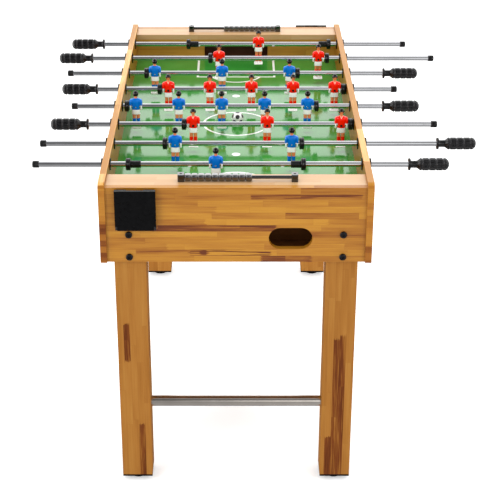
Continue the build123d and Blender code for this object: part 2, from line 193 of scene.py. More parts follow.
def wood(name, grain, tones, stave, length, origin, streaks=(), contrast=1.0, seed=0.0,
         spread=0.3, shade=None, inward=None, figured=(), knots=(), edge_marks=(),
         painted_top_light=0.0, **sockets):
    """Finger-jointed laminate: rows of short staves that run along the grain axis.

    origin is where row 0 starts, as (X, Y, Z). spread is how far the staves' tones differ.
    streaks are staves of a stated tone: (board, row, start, end, tone), with board 0..3 as
    (x > 0) + 2 (y > 0). A tone under THIN_STREAK is a thin ragged streak; a negative tone is a
    stave that is dark over its whole width. figured staves have dark figure of a stated strength.
    knots are (x, z, size) on the near board. edge_marks are dark marks on a side wall's near
    edge: (side, bottom, top). shade is (low, high, tint), painted shade, a tint that fades out
    upwards. inward is the colour of faces that look toward the table's middle. painted_top_light is
    painted light: it lightens level faces as if lit from above."""
    f = Finish(name, **sockets)
    x, y, z = f.split(f.point)
    nx, ny, nz = (f.math("ABSOLUTE", n) for n in f.split(f.normal))
    px, py, pz = (f.math("SUBTRACT", c, o) for c, o in zip((x, y, z), origin))
    if grain == "X":
        along, across, depth = x, f.choose(f.math("GREATER_THAN", nz, FACING), pz, py), ny
        board = f.times(2.0, f.math("GREATER_THAN", y, 0.0))
    elif grain == "Y":
        along, across, depth = y, f.choose(f.math("GREATER_THAN", nz, FACING), pz, px), nx
        board = f.math("GREATER_THAN", x, 0.0)
    else:
        along, across, depth = z, f.choose(f.math("GREATER_THAN", ny, FACING), py, px), ny
        board = f.add(
            f.math("GREATER_THAN", x, 0.0), f.times(2.0, f.math("GREATER_THAN", y, 0.0))
        )
    face = f.math("ROUND", f.add(depth, f.times(nz, 2.0)))
    rows = f.math("ABSOLUTE", f.math("DIVIDE", across, stave))
    row = f.math("FLOOR", rows)
    row_seed = f.add(f.times(board, 31.0), f.times(face, 7.0), seed)
    row_a = f.chance(f.join(row, row_seed, 1.7))
    row_b = f.chance(f.join(row, row_seed, 4.1))
    shifted = f.add(
        f.math("DIVIDE", along, f.add(length * 0.72, f.times(row_b, length * 0.7))),
        f.times(row_a, 9.0),
    )
    piece = f.math("FLOOR", shifted)
    one = f.chance(f.join(row, piece, row_seed))
    two = f.chance(f.join(piece, row, f.add(row_seed, 3.3)))

    wander = f.join(
        f.add(f.times(along, 5.0), f.times(one, 40.0)), f.times(across, 60.0), two
    )
    wave = f.noise(wander, 1.0, 2.0, 0.5)
    fine = f.noise(
        f.join(f.add(f.times(along, 9.0), f.times(two, 17.0)), f.times(across, 520.0),
               f.times(depth, 3.0)),
        1.0, 4.0, 0.6,
    )
    lines = f.math(
        "SINE", f.add(f.times(across, 2600.0), f.times(wave, 34.0), f.times(one, 20.0))
    )
    fibre = f.noise(f.join(f.times(along, 11.0), f.times(across, 420.0), 6.7), 1.0, 3.0, 0.55)
    tone = f.add(0.55 - spread / 2, f.times(one, spread))
    ragged = f.add(along, f.times(f.math("SUBTRACT", fine, 0.5), 0.03))
    in_row = f.math("FRACT", rows)
    cell = f.add(row, f.times(board, BOARD_STEP))
    for where, number, start, end, value in streaks:
        mask = f.times(
            f.math("COMPARE", cell, BOARD_STEP * where + number, 0.4),
            f.between(ragged, start, end),
        )
        if value < 0.0:
            mask = f.times(mask, f.rescale(fibre, 0.30, 0.55, 0.62, 1.0, smooth=True))
        elif value < THIN_STREAK:
            body = f.add(in_row, f.times(f.math("SUBTRACT", wave, 0.5), 0.5))
            mask = f.times(
                mask,
                f.rescale(body, 0.02, 0.16, 0.0, 1.0, smooth=True),
                f.rescale(body, 0.86, 0.99, 1.0, 0.0, smooth=True),
                f.rescale(fibre, 0.36, 0.58, 0.28, 1.0, smooth=True),
            )
        tone = f.choose(mask, tone, abs(value))
    tone = f.add(
        tone,
        f.times(f.math("SUBTRACT", wave, 0.5), 0.55 * contrast),
        f.times(f.math("SUBTRACT", fine, 0.5), 0.5 * contrast),
        f.times(lines, 0.028 * contrast),
        # painted light: level faces lighter, as if lit from above
        f.times(f.math("GREATER_THAN", nz, FACING), painted_top_light),
    )
    thin = f.noise(f.join(f.times(along, 7.0), f.times(across, 330.0), 3.1), 1.0, 3.0, 0.5)
    thin = f.rescale(thin, 0.50, 0.58, 0.0, 1.0, smooth=True)
    for where, number, start, end, value in figured:
        mask = f.times(
            f.math("COMPARE", cell, BOARD_STEP * where + number, 0.4),
            f.between(ragged, start, end), thin,
        )
        tone = f.math("SUBTRACT", tone, f.times(mask, value))
    for kx, kz, size in knots:
        dx, dz = f.math("SUBTRACT", x, kx), f.math("SUBTRACT", z, kz)
        away = f.math("SQRT", f.add(f.times(dx, dx, 0.3), f.times(dz, dz)))
        heart = f.rescale(f.add(away, f.times(f.math("SUBTRACT", fine, 0.5), size * 0.5)),
                          size * 0.5, size, 0.55, 0.0, smooth=True)
        tone = f.math("SUBTRACT", tone, f.times(heart, f.math("LESS_THAN", y, 0.0)))
    for side, bottom, top in edge_marks:
        mask = f.times(f.math("LESS_THAN", y, -0.6), f.math("GREATER_THAN", f.times(x, side), 0.0),
                       f.rescale(f.add(z, f.times(f.math("SUBTRACT", wave, 0.5), 0.02)),
                                 top - 0.006, top + 0.002, 1.0, 0.0),
                       f.math("GREATER_THAN", z, bottom), f.rescale(fine, 0.3, 0.6, 0.5, 1.0))
        tone = f.math("SUBTRACT", tone, f.times(mask, 0.42))
    colour = f.ramp(tone, tones)
    seam = f.math("MINIMUM", in_row, f.math("SUBTRACT", 1.0, in_row))
    seam = f.times(f.rescale(seam, 0.0, 0.035, 1.0, 0.0), 0.16)
    joint = f.math("FRACT", shifted)
    joint = f.times(f.rescale(f.math("MINIMUM", joint, f.math("SUBTRACT", 1.0, joint)),
                              0.0, 0.003, 1.0, 0.0), 0.2)
    colour = f.mix(f.math("MAXIMUM", seam, joint), colour, tones[0][1])
    # Painted shade: a tint at the lowest heights that fades out upwards.
    if shade:
        low, high, tint = shade
        colour = f.mix(f.rescale(z, low, high, 1.0, 0.0, smooth=True), colour,
                       f.mix(fine, tint, tones[0][1]))
    if inward:
        facing = f.times(f.split(f.normal)[1], f.math("SIGN", y))
        colour = f.mix(f.times(f.math("LESS_THAN", facing, -0.5), 0.92), colour, inward)
    f.feed("Base Color", colour)
    f.feed("Roughness", f.rescale(fine, 0.3, 0.7, 0.3, 0.44))
    f.bump(f.add(fine, f.times(lines, 0.1)), 0.12, 0.0004)
    return f.material


def plastic(name, colour, roughness=0.4, vary=0.15, grain=900.0, bump=0.1, **sockets):
    """Moulded plastic or rubber: a fine skin and slight mottling."""
    f = Finish(name, **sockets)
    coarse = f.noise(f.point, grain * 0.12, 3.0, 0.55)
    fine = f.noise(f.point, grain, 2.0, 0.5)
    dark = tuple(c * (1 - vary) for c in colour[:3]) + (1.0,)
    light = tuple(min(1.0, c * (1 + vary)) for c in colour[:3]) + (1.0,)
    f.feed("Base Color", f.ramp(coarse, [(0.3, dark), (0.7, light)]))
    f.feed("Roughness", f.rescale(coarse, 0.3, 0.7, roughness * 0.86, roughness * 1.14))
    f.bump(fine, bump, 0.0002)
    return f.material


def chrome(name, tint, roughness):
    """Plated steel with faint drawing marks along X."""
    f = Finish(name, Metallic=1.0)
    x, y, z = f.split(f.point)
    marks = f.noise(
        f.join(f.times(x, 4.0), f.times(y, 900.0), f.times(z, 900.0)), 1.0, 2.0, 0.5
    )
    cloud = f.noise(f.point, 30.0, 2.0, 0.5)
    low = tuple(c * 0.93 for c in tint[:3]) + (1.0,)
    f.feed("Base Color", f.ramp(cloud, [(0.35, low), (0.65, tint)]))
    f.feed("Roughness", f.rescale(marks, 0.3, 0.7, roughness * 0.7, roughness * 1.3))
    f.bump(marks, 0.03, 0.0001)
    return f.material


def field_finish():
    """Printed playfield: glossy green with white markings, in the table's own coordinates."""
    f = Finish("field_print", Coat_Weight=1.0, Coat_Roughness=0.09, Coat_IOR=1.52,
               Specular_IOR_Level=0.0)
    x, y, z = f.split(f.point)
    ax, ay = f.math("ABSOLUTE", x), f.math("ABSOLUTE", y)
    half = 0.003                # half the width of a line
    box_x, box_y = 0.109, 0.375     # corner of a penalty box

    def distance(cx, cy):
        """From a point; both ends of the table are alike."""
        dx, dy = f.math("SUBTRACT", x, cx), f.math("SUBTRACT", ay, cy)
        return f.math("SQRT", f.add(f.times(dx, dx), f.times(dy, dy)))

    def line(value, at):
        return f.math("COMPARE", value, at, half)

    circle = line(distance(0.0, 0.0), 0.084)
    spots = f.math("LESS_THAN", distance(0.0, 0.214), 0.0106)
    centre_spot = f.math("LESS_THAN", distance(0.0, 0.0), 0.009)
    middle = line(y, 0.0)
    box_front = f.times(line(ay, box_y), f.math("LESS_THAN", ax, box_x + half))
    box_sides = f.times(line(ax, box_x), f.math("GREATER_THAN", ay, box_y))
    arc = f.times(line(distance(0.0, 0.401), 0.072), f.math("LESS_THAN", ay, box_y))
    marks = circle
    for extra in (spots, centre_spot, middle, box_front, box_sides, arc):
        marks = f.math("MAXIMUM", marks, extra)
    turf = f.noise(f.point, 260.0, 4.0, 0.6)
    broad = f.noise(f.point, 9.0, 2.0, 0.5)
    green = f.ramp(
        f.add(f.times(turf, 0.35), f.times(broad, 0.65)),
        [(0.3, rgb(42, 122, 40)), (0.7, rgb(66, 148, 60))],
    )
    white = f.ramp(turf, [(0.3, rgb(222, 228, 220)), (0.7, rgb(246, 248, 244))])
    top = f.math("GREATER_THAN", f.split(f.normal)[2], 0.5)
    board = f.ramp(turf, [(0.3, rgb(92, 62, 36)), (0.7, rgb(124, 86, 52))])
    f.feed("Base Color", f.mix(top, board, f.mix(marks, green, white)))
    f.feed("Roughness", f.rescale(turf, 0.3, 0.7, 0.24, 0.34))
    f.bump(broad, 0.02, 0.0005)
    return f.material


# Tones of the laminate, darkest to lightest.
GOLD = [
    (0.0, rgb(97, 44, 8)), (0.12, rgb(115, 56, 11)), (0.25, rgb(145, 87, 16)),
    (0.55, rgb(167, 110, 27)), (0.85, rgb(180, 125, 33)),
]
HONEY = [
    (0.0, rgb(96, 45, 8)), (0.12, rgb(114, 57, 11)), (0.25, rgb(146, 88, 22)),
    (0.55, rgb(163, 105, 31)), (0.85, rgb(174, 119, 39)),
    # the last, pale stop is reached mostly where painted light lightens level faces
    (1.0, rgb(226, 172, 104)),
]
BUFF = [
    (0.0, rgb(89, 43, 13)), (0.12, rgb(108, 54, 17)), (0.25, rgb(136, 85, 30)),
    (0.55, rgb(153, 101, 41)), (0.85, rgb(163, 114, 51)),
]
OLIVE = [
    (0.0, rgb(106, 62, 20)), (0.12, rgb(124, 73, 24)), (0.25, rgb(154, 102, 32)),
    (0.55, rgb(180, 126, 44)), (0.85, rgb(193, 141, 55)),
]
# Rails: the laminate's own tones made pale with painted light, the light from above on their tops.
PEACH_WITH_PAINTED_LIGHT = [
    (0.0, rgb(155, 107, 67)), (0.12, rgb(168, 121, 78)), (0.25, rgb(182, 138, 92)),
    (0.55, rgb(190, 151, 106)), (0.85, rgb(197, 163, 120)),
]

panel_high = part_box("end_panels")[1]
leg_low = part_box("legs")[0]
FRONT_STAVE = 0.015125      # width of a stave on the end panels and side walls
front_streaks = [
    (0, 1, 0.033, 0.278, 0.04), (0, 3, -0.0445, 0.1106, 0.78), (0, 5, -0.069, 0.2045, 0.8),
    (0, 6, -0.19, 0.089, -0.11), (0, 9, -0.155, -0.0585, 0.7), (0, 11, -0.029, 0.056, 0.74),
    (0, 11, 0.056, 0.169, -0.12), (0, 2, -0.174, -0.135, 0.62), (0, 10, 0.079, 0.29, 0.72),
]
leg_streaks = [
    (0, 1, 0.336, 0.435, -0.04), (0, 3, 0.0, 0.162, -0.05), (1, 35, 0.0, 0.395, -0.08),
    (1, 36, 0.0, 0.405, -0.04), (1, 34, 0.0, 0.125, -0.08),
]
front_wood = wood("laminate_front", "X", GOLD, FRONT_STAVE, 0.2,
                  (0.0, 0.0, panel_high.z), front_streaks, seed=2.0, spread=0.34,
                  inward=rgb(75, 45, 35), contrast=1.9, Specular_IOR_Level=0.35,
                  figured=[(0, 10, -0.104, 0.0785, 0.95)],
                  knots=[(-0.072, panel_high.z - 0.1588, 0.008)])
# Side walls: level top faces lightened with painted light from above.
side_wood = wood("laminate_sides", "Y", HONEY, FRONT_STAVE, 0.24,
                 (0.2975, 0.0, 0.796), seed=5.0, spread=0.3,
                 edge_marks=[(-1.0, 0.604, 0.705), (1.0, 0.604, 0.650)], painted_top_light=0.32,
                 Specular_IOR_Level=0.22)
# Rails: painted light, pale all over as their lit tops are.
rail_wood = wood("laminate_rails", "X", PEACH_WITH_PAINTED_LIGHT, 0.0155, 0.3, (0.0, -0.6035, panel_high.z),
                 contrast=0.8, seed=9.0, spread=0.24)
# Goal walls: painted shade at the bottom, fading out upwards.
inner_wood = wood("laminate_inner", "X", OLIVE, 0.0155, 0.24, (0.0, 0.0, panel_high.z),
                  seed=4.0, spread=0.3, shade=(0.690, 0.706, rgb(70, 42, 26)))
leg_wood = wood("laminate_legs", "Z", BUFF, 0.0144, 0.24, (leg_low.x, leg_low.y, 0.0),
                leg_streaks, seed=7.0, spread=0.14, contrast=1.3,
                Specular_IOR_Level=0.0, Coat_Weight=0.2, Coat_Roughness=0.35)

NEAR_BLACK = (0.004, 0.004, 0.0045, 1)
rod_chrome = chrome("rod_chrome", rgb(206, 207, 210), 0.1)
bar_chrome = chrome("bar_chrome", rgb(204, 196, 188), 0.16)
black_gloss = plastic("black_gloss", NEAR_BLACK, 0.14, bump=0.03,
                      Coat_Weight=0.7, Coat_Roughness=0.08, Coat_IOR=1.6)
counter_gloss = plastic("counter_gloss", NEAR_BLACK, 0.14, bump=0.02,
                        Coat_Weight=1.0, Coat_Roughness=0.06, Coat_IOR=2.0)
black_satin = plastic("black_satin", (0.003, 0.003, 0.0034, 1), 0.3, vary=0.3, bump=0.08,
                      Specular_IOR_Level=0.09)
black_rubber = plastic("black_rubber", NEAR_BLACK, 0.24, bump=0.1,
                       Specular_IOR_Level=0.35)
black_steel = plastic("black_steel", (0.012, 0.011, 0.012, 1), 0.22, bump=0.04, Metallic=0.6)
grey_bush = plastic("grey_bush", (0.10, 0.10, 0.105, 1), 0.4)
skin = plastic("figure_skin", rgb(240, 140, 88), 0.3, vary=0.05, bump=0.04)
hair = plastic("figure_hair", (0.003, 0.0027, 0.0025, 1), 0.16, bump=0.1,
               Specular_IOR_Level=0.35)
white_paint = plastic("figure_white", rgb(250, 250, 247), 0.28, vary=0.02, bump=0.03)


# ------------------------------------------------------------------ carried-over CAD nodes

def dress(node, material, edge=0.0):
    """Puts the material on a CAD node; edge rounds its sharp corners without moving its faces."""
    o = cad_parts[node]
    o.data.materials.clear()
    o.data.materials.append(material)
    if edge:
        weld = o.modifiers.new("join_corners", "WELD")
        weld.merge_threshold = 0.00001
        bevel = o.modifiers.new("soft_edges", "BEVEL")
        bevel.width = edge
        bevel.segments = 2
        bevel.limit_method = "ANGLE"
        bevel.angle_limit = math.radians(35)
        o.modifiers.new("even_shading", "WEIGHTED_NORMAL")


dress("side_panels", side_wood, 0.0009)
dress("end_panels", front_wood)
dress("top_rails", rail_wood, 0.0006)
dress("inner_boards", inner_wood, 0.0005)
dress("playfield", field_finish())
dress("legs", leg_wood, 0.0006)
dress("leg_caps", black_satin, 0.0006)
dress("cross_bars", bar_chrome)
dress("leg_bolts", black_steel)
dress("bearing_housings", black_satin, 0.0006)
dress("black_fittings", black_gloss, 0.0006)
for number in range(1, 5):
    dress(f"leveler_{number}", black_satin, 0.0004)
for name in ("cup_tray_near", "cup_tray_far"):
    dress(name, black_satin, 0.0008)
for number in range(1, 9):
    dress(f"rod_{number}_tube", rod_chrome)
    dress(f"rod_{number}_sleeves", grey_bush)


# ------------------------------------------------------------------ mesh helpers

def rounded(cx, cy, z, rx, ry, power=2.0, count=28):
    """A superellipse ring at height z, given in mm; power 2 is an ellipse."""
    points = []
    for i in range(count):
        a = 2 * math.pi * i / count
        c, s = math.cos(a), math.sin(a)
        points.append(Vector((
            cx + rx * math.copysign(abs(c) ** (2 / power), c),
            cy + ry * math.copysign(abs(s) ** (2 / power), s),
            z,
        )) * MM)
    return points


def loft(bm, rings, slot=0, bored=False):
    """A closed skin over rings of equal count; bored joins the last ring back to the first."""
    rows = [[bm.verts.new(p) for p in ring] for ring in rings]
    count = len(rows[0])
    for low, high in zip(rows, rows[1:] + (rows[:1] if bored else [])):
        for i in range(count):
            j = (i + 1) % count
            bm.faces.new((low[i], low[j], high[j], high[i])).material_index = slot
    if bored:
        return
    bm.faces.new(list(reversed(rows[0]))).material_index = slot
    bm.faces.new(rows[-1]).material_index = slot


def lathe(bm, profile, count=48, bulge=None):
    """Turned about the X axis: profile is (x, radius) in mm; bulge(x, angle) adds to the radius."""
    rings = []
    for x, radius in profile:
        ring = []
        for i in range(count):
            a = 2 * math.pi * i / count
            r = radius + (bulge(x, a) if bulge else 0.0)
            ring.append(Vector((x, r * math.cos(a), r * math.sin(a))) * MM)
        rings.append(ring)
    loft(bm, rings)


def finish_mesh(name, bm, materials, sharp=40.0):
    """Mesh data from a bmesh, smooth where its faces meet gently."""
    bmesh.ops.recalc_face_normals(bm, faces=bm.faces)
    for face in bm.faces:
        face.smooth = True
    limit = math.radians(sharp)
    for edge in bm.edges:
        if len(edge.link_faces) == 2 and edge.calc_face_angle() > limit:
            edge.smooth = False
    mesh = bpy.data.meshes.new(name)
    bm.to_mesh(mesh)
    bm.free()
    for material in materials:
        mesh.materials.append(material)
    return mesh


def place(name, mesh, matrix, body, slot=None, stands_for=()):
    """A new piece that rides on a body, and the CAD nodes it stands for."""
    o = bpy.data.objects.new(name, mesh)
    bpy.context.scene.collection.objects.link(o)
    o.matrix_world = matrix
    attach(o, body)
    if stands_for:
        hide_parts(*stands_for)
    return o


def along_rod(node, centre, red):
    """How far a node reaches each way along its rod, in the rod's own coordinates."""
    low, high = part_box(node)
    return (centre - high.x, centre - low.x) if red else (low.x - centre, high.x - centre)


def smoothstep(low, high, value):
    """0 at low, 1 at high, eased at both ends."""
    t = max(0.0, min(1.0, (value - low) / (high - low)))
    return t * t * (3 - 2 * t)


# ------------------------------------------------------------------ figures

def figure_mesh(colour):
    """One figure facing +Y with the rod's axis through its chest at the origin.

    Body parts are rings stacked along Z, in mm: (z, half width, half depth). Sleeves and arms
    have their middle's distance from the figure's centre after z."""
    bm = bmesh.new()
    SHIRT, WHITE, SKIN, HAIR, DARK, STEEL = range(6)
    shirt = [
        (-7.6, 9.9, 7.4), (-7.5, 10.6, 8.0), (-6.6, 10.8, 8.3), (-3.0, 10.9, 8.4),
        (1.0, 11.3, 8.6), (5.0, 11.9, 8.7), (8.5, 12.7, 8.8), (11.5, 13.4, 8.7),
        (14.5, 13.9, 8.3), (17.0, 13.2, 7.7), (19.0, 11.2, 6.8), (20.4, 8.6, 5.8),
        (21.3, 6.2, 5.0), (21.9, 4.9, 4.5), (22.0, 4.2, 4.0),
    ]
    loft(bm, [rounded(0, 0, z, rx, ry, 2.5) for z, rx, ry in shirt], SHIRT)
    for side in (-1, 1):
        sleeve = [
            (19.2, 10.6, 1.0, 3.0), (18.6, 10.9, 2.6, 4.8), (17.0, 11.8, 3.6, 6.2),
            (14.0, 12.8, 3.6, 7.2), (10.0, 13.3, 3.3, 7.8), (6.5, 13.6, 3.1, 8.2),
            (4.4, 13.8, 3.1, 8.4), (3.9, 13.8, 2.9, 8.2), (4.0, 13.8, 2.4, 7.6),
        ]
        loft(bm, [rounded(side * cx, 0, z, rx, ry, 2.3, 24) for z, cx, rx, ry in sleeve], SHIRT)
        arm = [
            (7.0, 13.6, 1.6, 5.0), (5.0, 13.8, 2.4, 7.3), (1.0, 13.8, 2.6, 7.9),
            (-3.0, 13.8, 2.6, 7.9), (-6.0, 13.8, 2.6, 7.4), (-8.3, 13.7, 2.4, 6.0),
            (-9.6, 13.7, 1.6, 3.6),
        ]
        loft(bm, [rounded(side * cx, 0, z, rx, ry, 2.4, 24) for z, cx, rx, ry in arm], WHITE)
    shorts = [
        (-6.5, 9.7, 6.8), (-7.8, 10.4, 7.4), (-12.0, 10.8, 7.6), (-17.0, 11.0, 7.7),
        (-19.8, 11.1, 7.7), (-20.0, 10.7, 7.3), (-19.6, 9.6, 6.2),
    ]
    loft(bm, [rounded(0, 0, z, rx, ry, 3.0) for z, rx, ry in shorts], WHITE)
    for side in (-1, 1):
        cx = side * 5.05
        leg = [
            (-18.0, 4.6, 5.4), (-22.0, 4.6, 5.4), (-26.0, 4.45, 5.2), (-30.0, 4.25, 5.0),
            (-32.0, 4.2, 5.0),
        ]
        loft(bm, [rounded(cx, 0, z, rx, ry, 2.6, 20) for z, rx, ry in leg], SKIN)
        sock = [
            (-31.2, 4.0, 4.8), (-31.4, 4.55, 5.3), (-32.6, 4.6, 5.45), (-38.0, 4.6, 5.5),
            (-45.0, 4.4, 5.3), (-50.4, 4.4, 5.2),
        ]
        loft(bm, [rounded(cx, 0, z, rx, ry, 2.6, 20) for z, rx, ry in sock], SHIRT)
        cuff = [(-49.9, 4.1, 4.9), (-49.7, 4.6, 5.4), (-50.2, 4.9, 5.8), (-53.2, 5.2, 6.2)]
        loft(bm, [rounded(cx, 0, z, rx, ry, 2.6, 20) for z, rx, ry in cuff], WHITE)
    rings = []      # the foot block runs along Y: (y, half width, top, sole)
    for y, rx, top, low in ((-6.5, 11.2, -54.0, -58.2), (-6.1, 12.0, -53.0, -59.2),
                            (-4.0, 12.2, -52.5, -60.0), (2.0, 12.2, -52.5, -60.0),
                            (5.0, 12.2, -53.1, -59.8), (8.2, 12.1, -55.0, -58.9),
                            (10.0, 11.6, -56.1, -57.9), (10.5, 10.8, -56.6, -57.4)):
        middle, ry = (top + low) / 2, (top - low) / 2
        rings.append([Vector((p.x, y * MM, p.y + middle * MM))
                      for p in rounded(0, 0, 0, rx, ry, 6.0, 40)])
    loft(bm, rings, WHITE)
    neck = [(18.0, 4.0, 4.0), (22.5, 3.8, 3.8), (26.5, 3.6, 3.7)]
    loft(bm, [rounded(0, -0.2, z, rx, ry, 2.0, 20) for z, rx, ry in neck], SKIN)

    head = bmesh.new()
    bmesh.ops.create_uvsphere(head, u_segments=32, v_segments=24, radius=1.0)
    head_z = 32.5
    middle = Vector((0, 0, head_z))

    def covered(n):
        """Hair on the crown, back and temples; the face is the front below it."""
        front = smoothstep(0.2, 0.55, n.y)
        return n.z > -0.55 + 0.62 * front or (abs(n.x) > 0.62 and n.z > -0.3)

    for v in head.verts:
        n = v.co.copy()
        jaw = 1.0 - 0.22 * smoothstep(0.1, -0.9, n.z) * (1.0 if n.y > 0 else 0.6)
        v.co = Vector((n.x * 6.7 * jaw, n.y * 6.6 * (jaw * 0.5 + 0.5), head_z + n.z * 7.8))
        if n.y > 0.75 and abs(n.x) < 0.2:
            v.co.y += 0.9 * smoothstep(0.25, 0.0, abs(n.z + 0.2)) * (1 - abs(n.x) / 0.2)
        if covered(n):
            v.co = middle + (v.co - middle) * 1.07
    for face in head.faces:
        c = face.calc_center_median()
        n = Vector((c.x / 6.9, c.y / 6.9, (c.z - head_z) / 8.1))
        face.material_index = HAIR if covered(n.normalized()) else SKIN
    for v in head.verts:
        v.co = v.co * MM
    made = {v: bm.verts.new(v.co) for v in head.verts}
    for face in head.faces:
        new = bm.faces.new([made[v] for v in face.verts])
        new.material_index = face.material_index
    head.free()
    for side in (-1, 1):
        ear = [
            (29.0, 0.2, 0.5), (29.8, 0.7, 1.2), (31.6, 0.9, 1.6), (33.2, 0.7, 1.3),
            (34.0, 0.2, 0.5),
        ]
        loft(bm, [rounded(side * 6.3, 0.0, z, rx, ry, 2.0, 12) for z, rx, ry in ear], SKIN)
        eye = [(-0.35, 0.1), (-0.3, 0.42), (0.0, 0.55), (0.3, 0.42), (0.35, 0.1)]
        rings = []
        for dz, r in eye:
            rings.append([p + Vector((side * 2.1, 6.0, 31.6 + dz * 1.6)) * MM
                          for p in rounded(0, 0, 0, r * 1.2, r * 0.9, 2.0, 10)])
        loft(bm, rings, DARK)

    def boss(y0, y1, radius, inner, slot, sides, z):
        """A fitting on the chest or back, from y0 out to y1, with a recess of radius inner."""
        rings = []
        for y, r in ((y0, radius * 0.98), (y1 * 0.985, radius), (y1, radius * 0.9),
                     (y1, inner), (y1 * 0.985, inner * 0.92)):
            rings.append([Vector((r * math.cos(2 * math.pi * i / sides), y,
                                  z + r * math.sin(2 * math.pi * i / sides))) * MM
                          for i in range(sides)])
        loft(bm, rings, slot)

    boss(6.0, 8.78, 3.1, 2.2, DARK, 24, -1.5)
    boss(-6.0, -9.0, 1.9, 1.0, STEEL, 6, -1.0)
    return finish_mesh(f"figure_{colour}", bm,
                       [team_shirt(colour), white_paint, skin, hair, black_steel, nut_steel])


def team_shirt(colour):
    """Team paint with a collar and hem drawn in the figure's own coordinates."""
    base = {"blue": rgb(0, 112, 208), "red": rgb(252, 26, 0)}[colour]
    deep = tuple(c * 0.72 for c in base[:3]) + (1.0,)
    f = Finish(f"shirt_{colour}", Coat_Weight=0.4, Coat_Roughness=0.07,
               Specular_IOR_Level=0.05)
    x, y, z = f.split(f.point)
    cloud = f.noise(f.point, 140.0, 2.0, 0.5)
    paint = f.ramp(cloud, [(0.3, tuple(c * 0.94 for c in base[:3]) + (1.0,)), (0.7, base)])
    ax = f.math("ABSOLUTE", x)
    slope = f.math("SUBTRACT", z, f.times(ax, 1.9))
    opening = f.times(f.between(slope, 0.0172, 0.032), f.math("GREATER_THAN", y, 0.001))
    band = f.times(f.between(slope, 0.0160, 0.0172), f.math("GREATER_THAN", y, 0.001))
    back = f.times(f.between(z, 0.0203, 0.0211), f.math("LESS_THAN", y, 0.001))
    hem = f.between(z, -0.0068, -0.0063)
    paint = f.mix(f.math("MAXIMUM", back, hem), paint, deep)
    paint = f.mix(opening, paint, rgb(240, 146, 96))
    paint = f.mix(band, paint, rgb(244, 226, 220))
    f.feed("Base Color", paint)
    f.feed("Roughness", f.rescale(cloud, 0.3, 0.7, 0.24, 0.32))
    f.bump(f.noise(f.point, 700.0, 2.0, 0.5), 0.04, 0.0002)
    return f.material


nut_steel = chrome("nut_steel", rgb(200, 202, 206), 0.25)
figures = {colour: figure_mesh(colour) for colour in ("blue", "red")}


# ------------------------------------------------------------------ handles, bumpers, caps

GROOVES = (31.8, 47.7, 63.6, 79.5)      # rings round the grip, measured from the flange, mm
PAD_ROWS = 16                           # rows of pads round it


def grip_finish():
    """Glossy black pads with a painted highlight: their edges along the grooves are lighter grey.
    """
    f = Finish("grip_rubber", Coat_Weight=0.32, Coat_Roughness=0.1, Coat_IOR=1.5,
               Specular_IOR_Level=0.2)
    x, y, z = f.split(f.point)
    # Painted highlight: lighter grey along the ring grooves and between the rows of pads, in
    # patches, on the grip only.
    painted_highlight = 0.0
    for centre in GROOVES:
        away = f.math("ABSOLUTE", f.math("SUBTRACT", x, centre * MM))
        painted_highlight = f.math("MAXIMUM", painted_highlight, f.times(f.rescale(away, 0.0006, 0.0012, 0.0, 1.0),
                                             f.rescale(away, 0.0016, 0.0024, 1.0, 0.0)))
    turn = f.math("FRACT", f.times(f.math("ARCTAN2", z, y), PAD_ROWS / (2 * math.pi)))
    side = f.math("MINIMUM", turn, f.math("SUBTRACT", 1.0, turn))
    line = f.times(f.rescale(side, 0.05, 0.12, 0.0, 1.0), f.rescale(side, 0.16, 0.24, 1.0, 0.0))
    painted_highlight = f.math("MAXIMUM", painted_highlight, f.times(line, 0.7))
    patchiness = f.noise(f.point, 160.0, 3.0, 0.55)
    painted_highlight = f.times(painted_highlight, f.math("GREATER_THAN", x, 0.0255), f.rescale(patchiness, 0.3, 0.6, 0.35, 1.0))
    f.feed("Base Color", f.mix(painted_highlight, (0.0025, 0.0025, 0.003, 1), (0.036, 0.036, 0.039, 1)))
    f.feed("Roughness", f.rescale(patchiness, 0.3, 0.7, 0.2, 0.32))
    f.bump(f.noise(f.point, 900.0, 2.0, 0.5), 0.05, 0.0002)
    return f.material


def handle_mesh():
    """Moulded handle from its flange at 0 along +X: neck, shoulder, rings of pads, round end."""
    outline = [
        (0.0, ROD_FIT), (0.0, 12.8), (0.3, 13.5), (1.0, 14.0), (4.0, 14.0), (4.7, 13.6),
        (5.0, 12.9), (5.0, 9.6), (5.4, 8.9), (6.2, 8.5), (12.0, 8.4), (18.0, 8.5), (20.0, 8.7),
    ]
    neck_end, neck_radius, grip_radius = 21.0, 8.7, 14.5
    x = neck_end
    while x < 93.9:
        shoulder = smoothstep(18.5, 29.5, x)
        end = 1.0 - max(0.0, (x - 82.0) / 12.0) ** 2
        radius = neck_radius + (grip_radius - neck_radius) * shoulder
        outline.append((x, radius * max(0.004, end) ** 0.5))
        x += 0.55
    outline.append((94.0, 0.6))

    def bulge(x, angle):
        """Grooves between the pads."""
        if x < neck_end:
            return 0.0
        ring = 0.0
        for centre in GROOVES:
            ring = max(ring, 1.0 - smoothstep(0.7, 1.9, abs(x - centre)))
        turn = (angle / (2 * math.pi) * PAD_ROWS) % 1.0
        side = min(turn, 1.0 - turn)
        line = 1.0 - smoothstep(0.05, 0.18, side)
        fade = smoothstep(22.0, 26.0, x) * (1.0 - smoothstep(88.0, 93.0, x))
        return -1.45 * max(ring, 0.8 * line) * fade

    bm = bmesh.new()
    lathe(bm, outline, count=PAD_ROWS * 10, bulge=bulge)
    return finish_mesh("grip", bm, [grip_finish()], sharp=55)


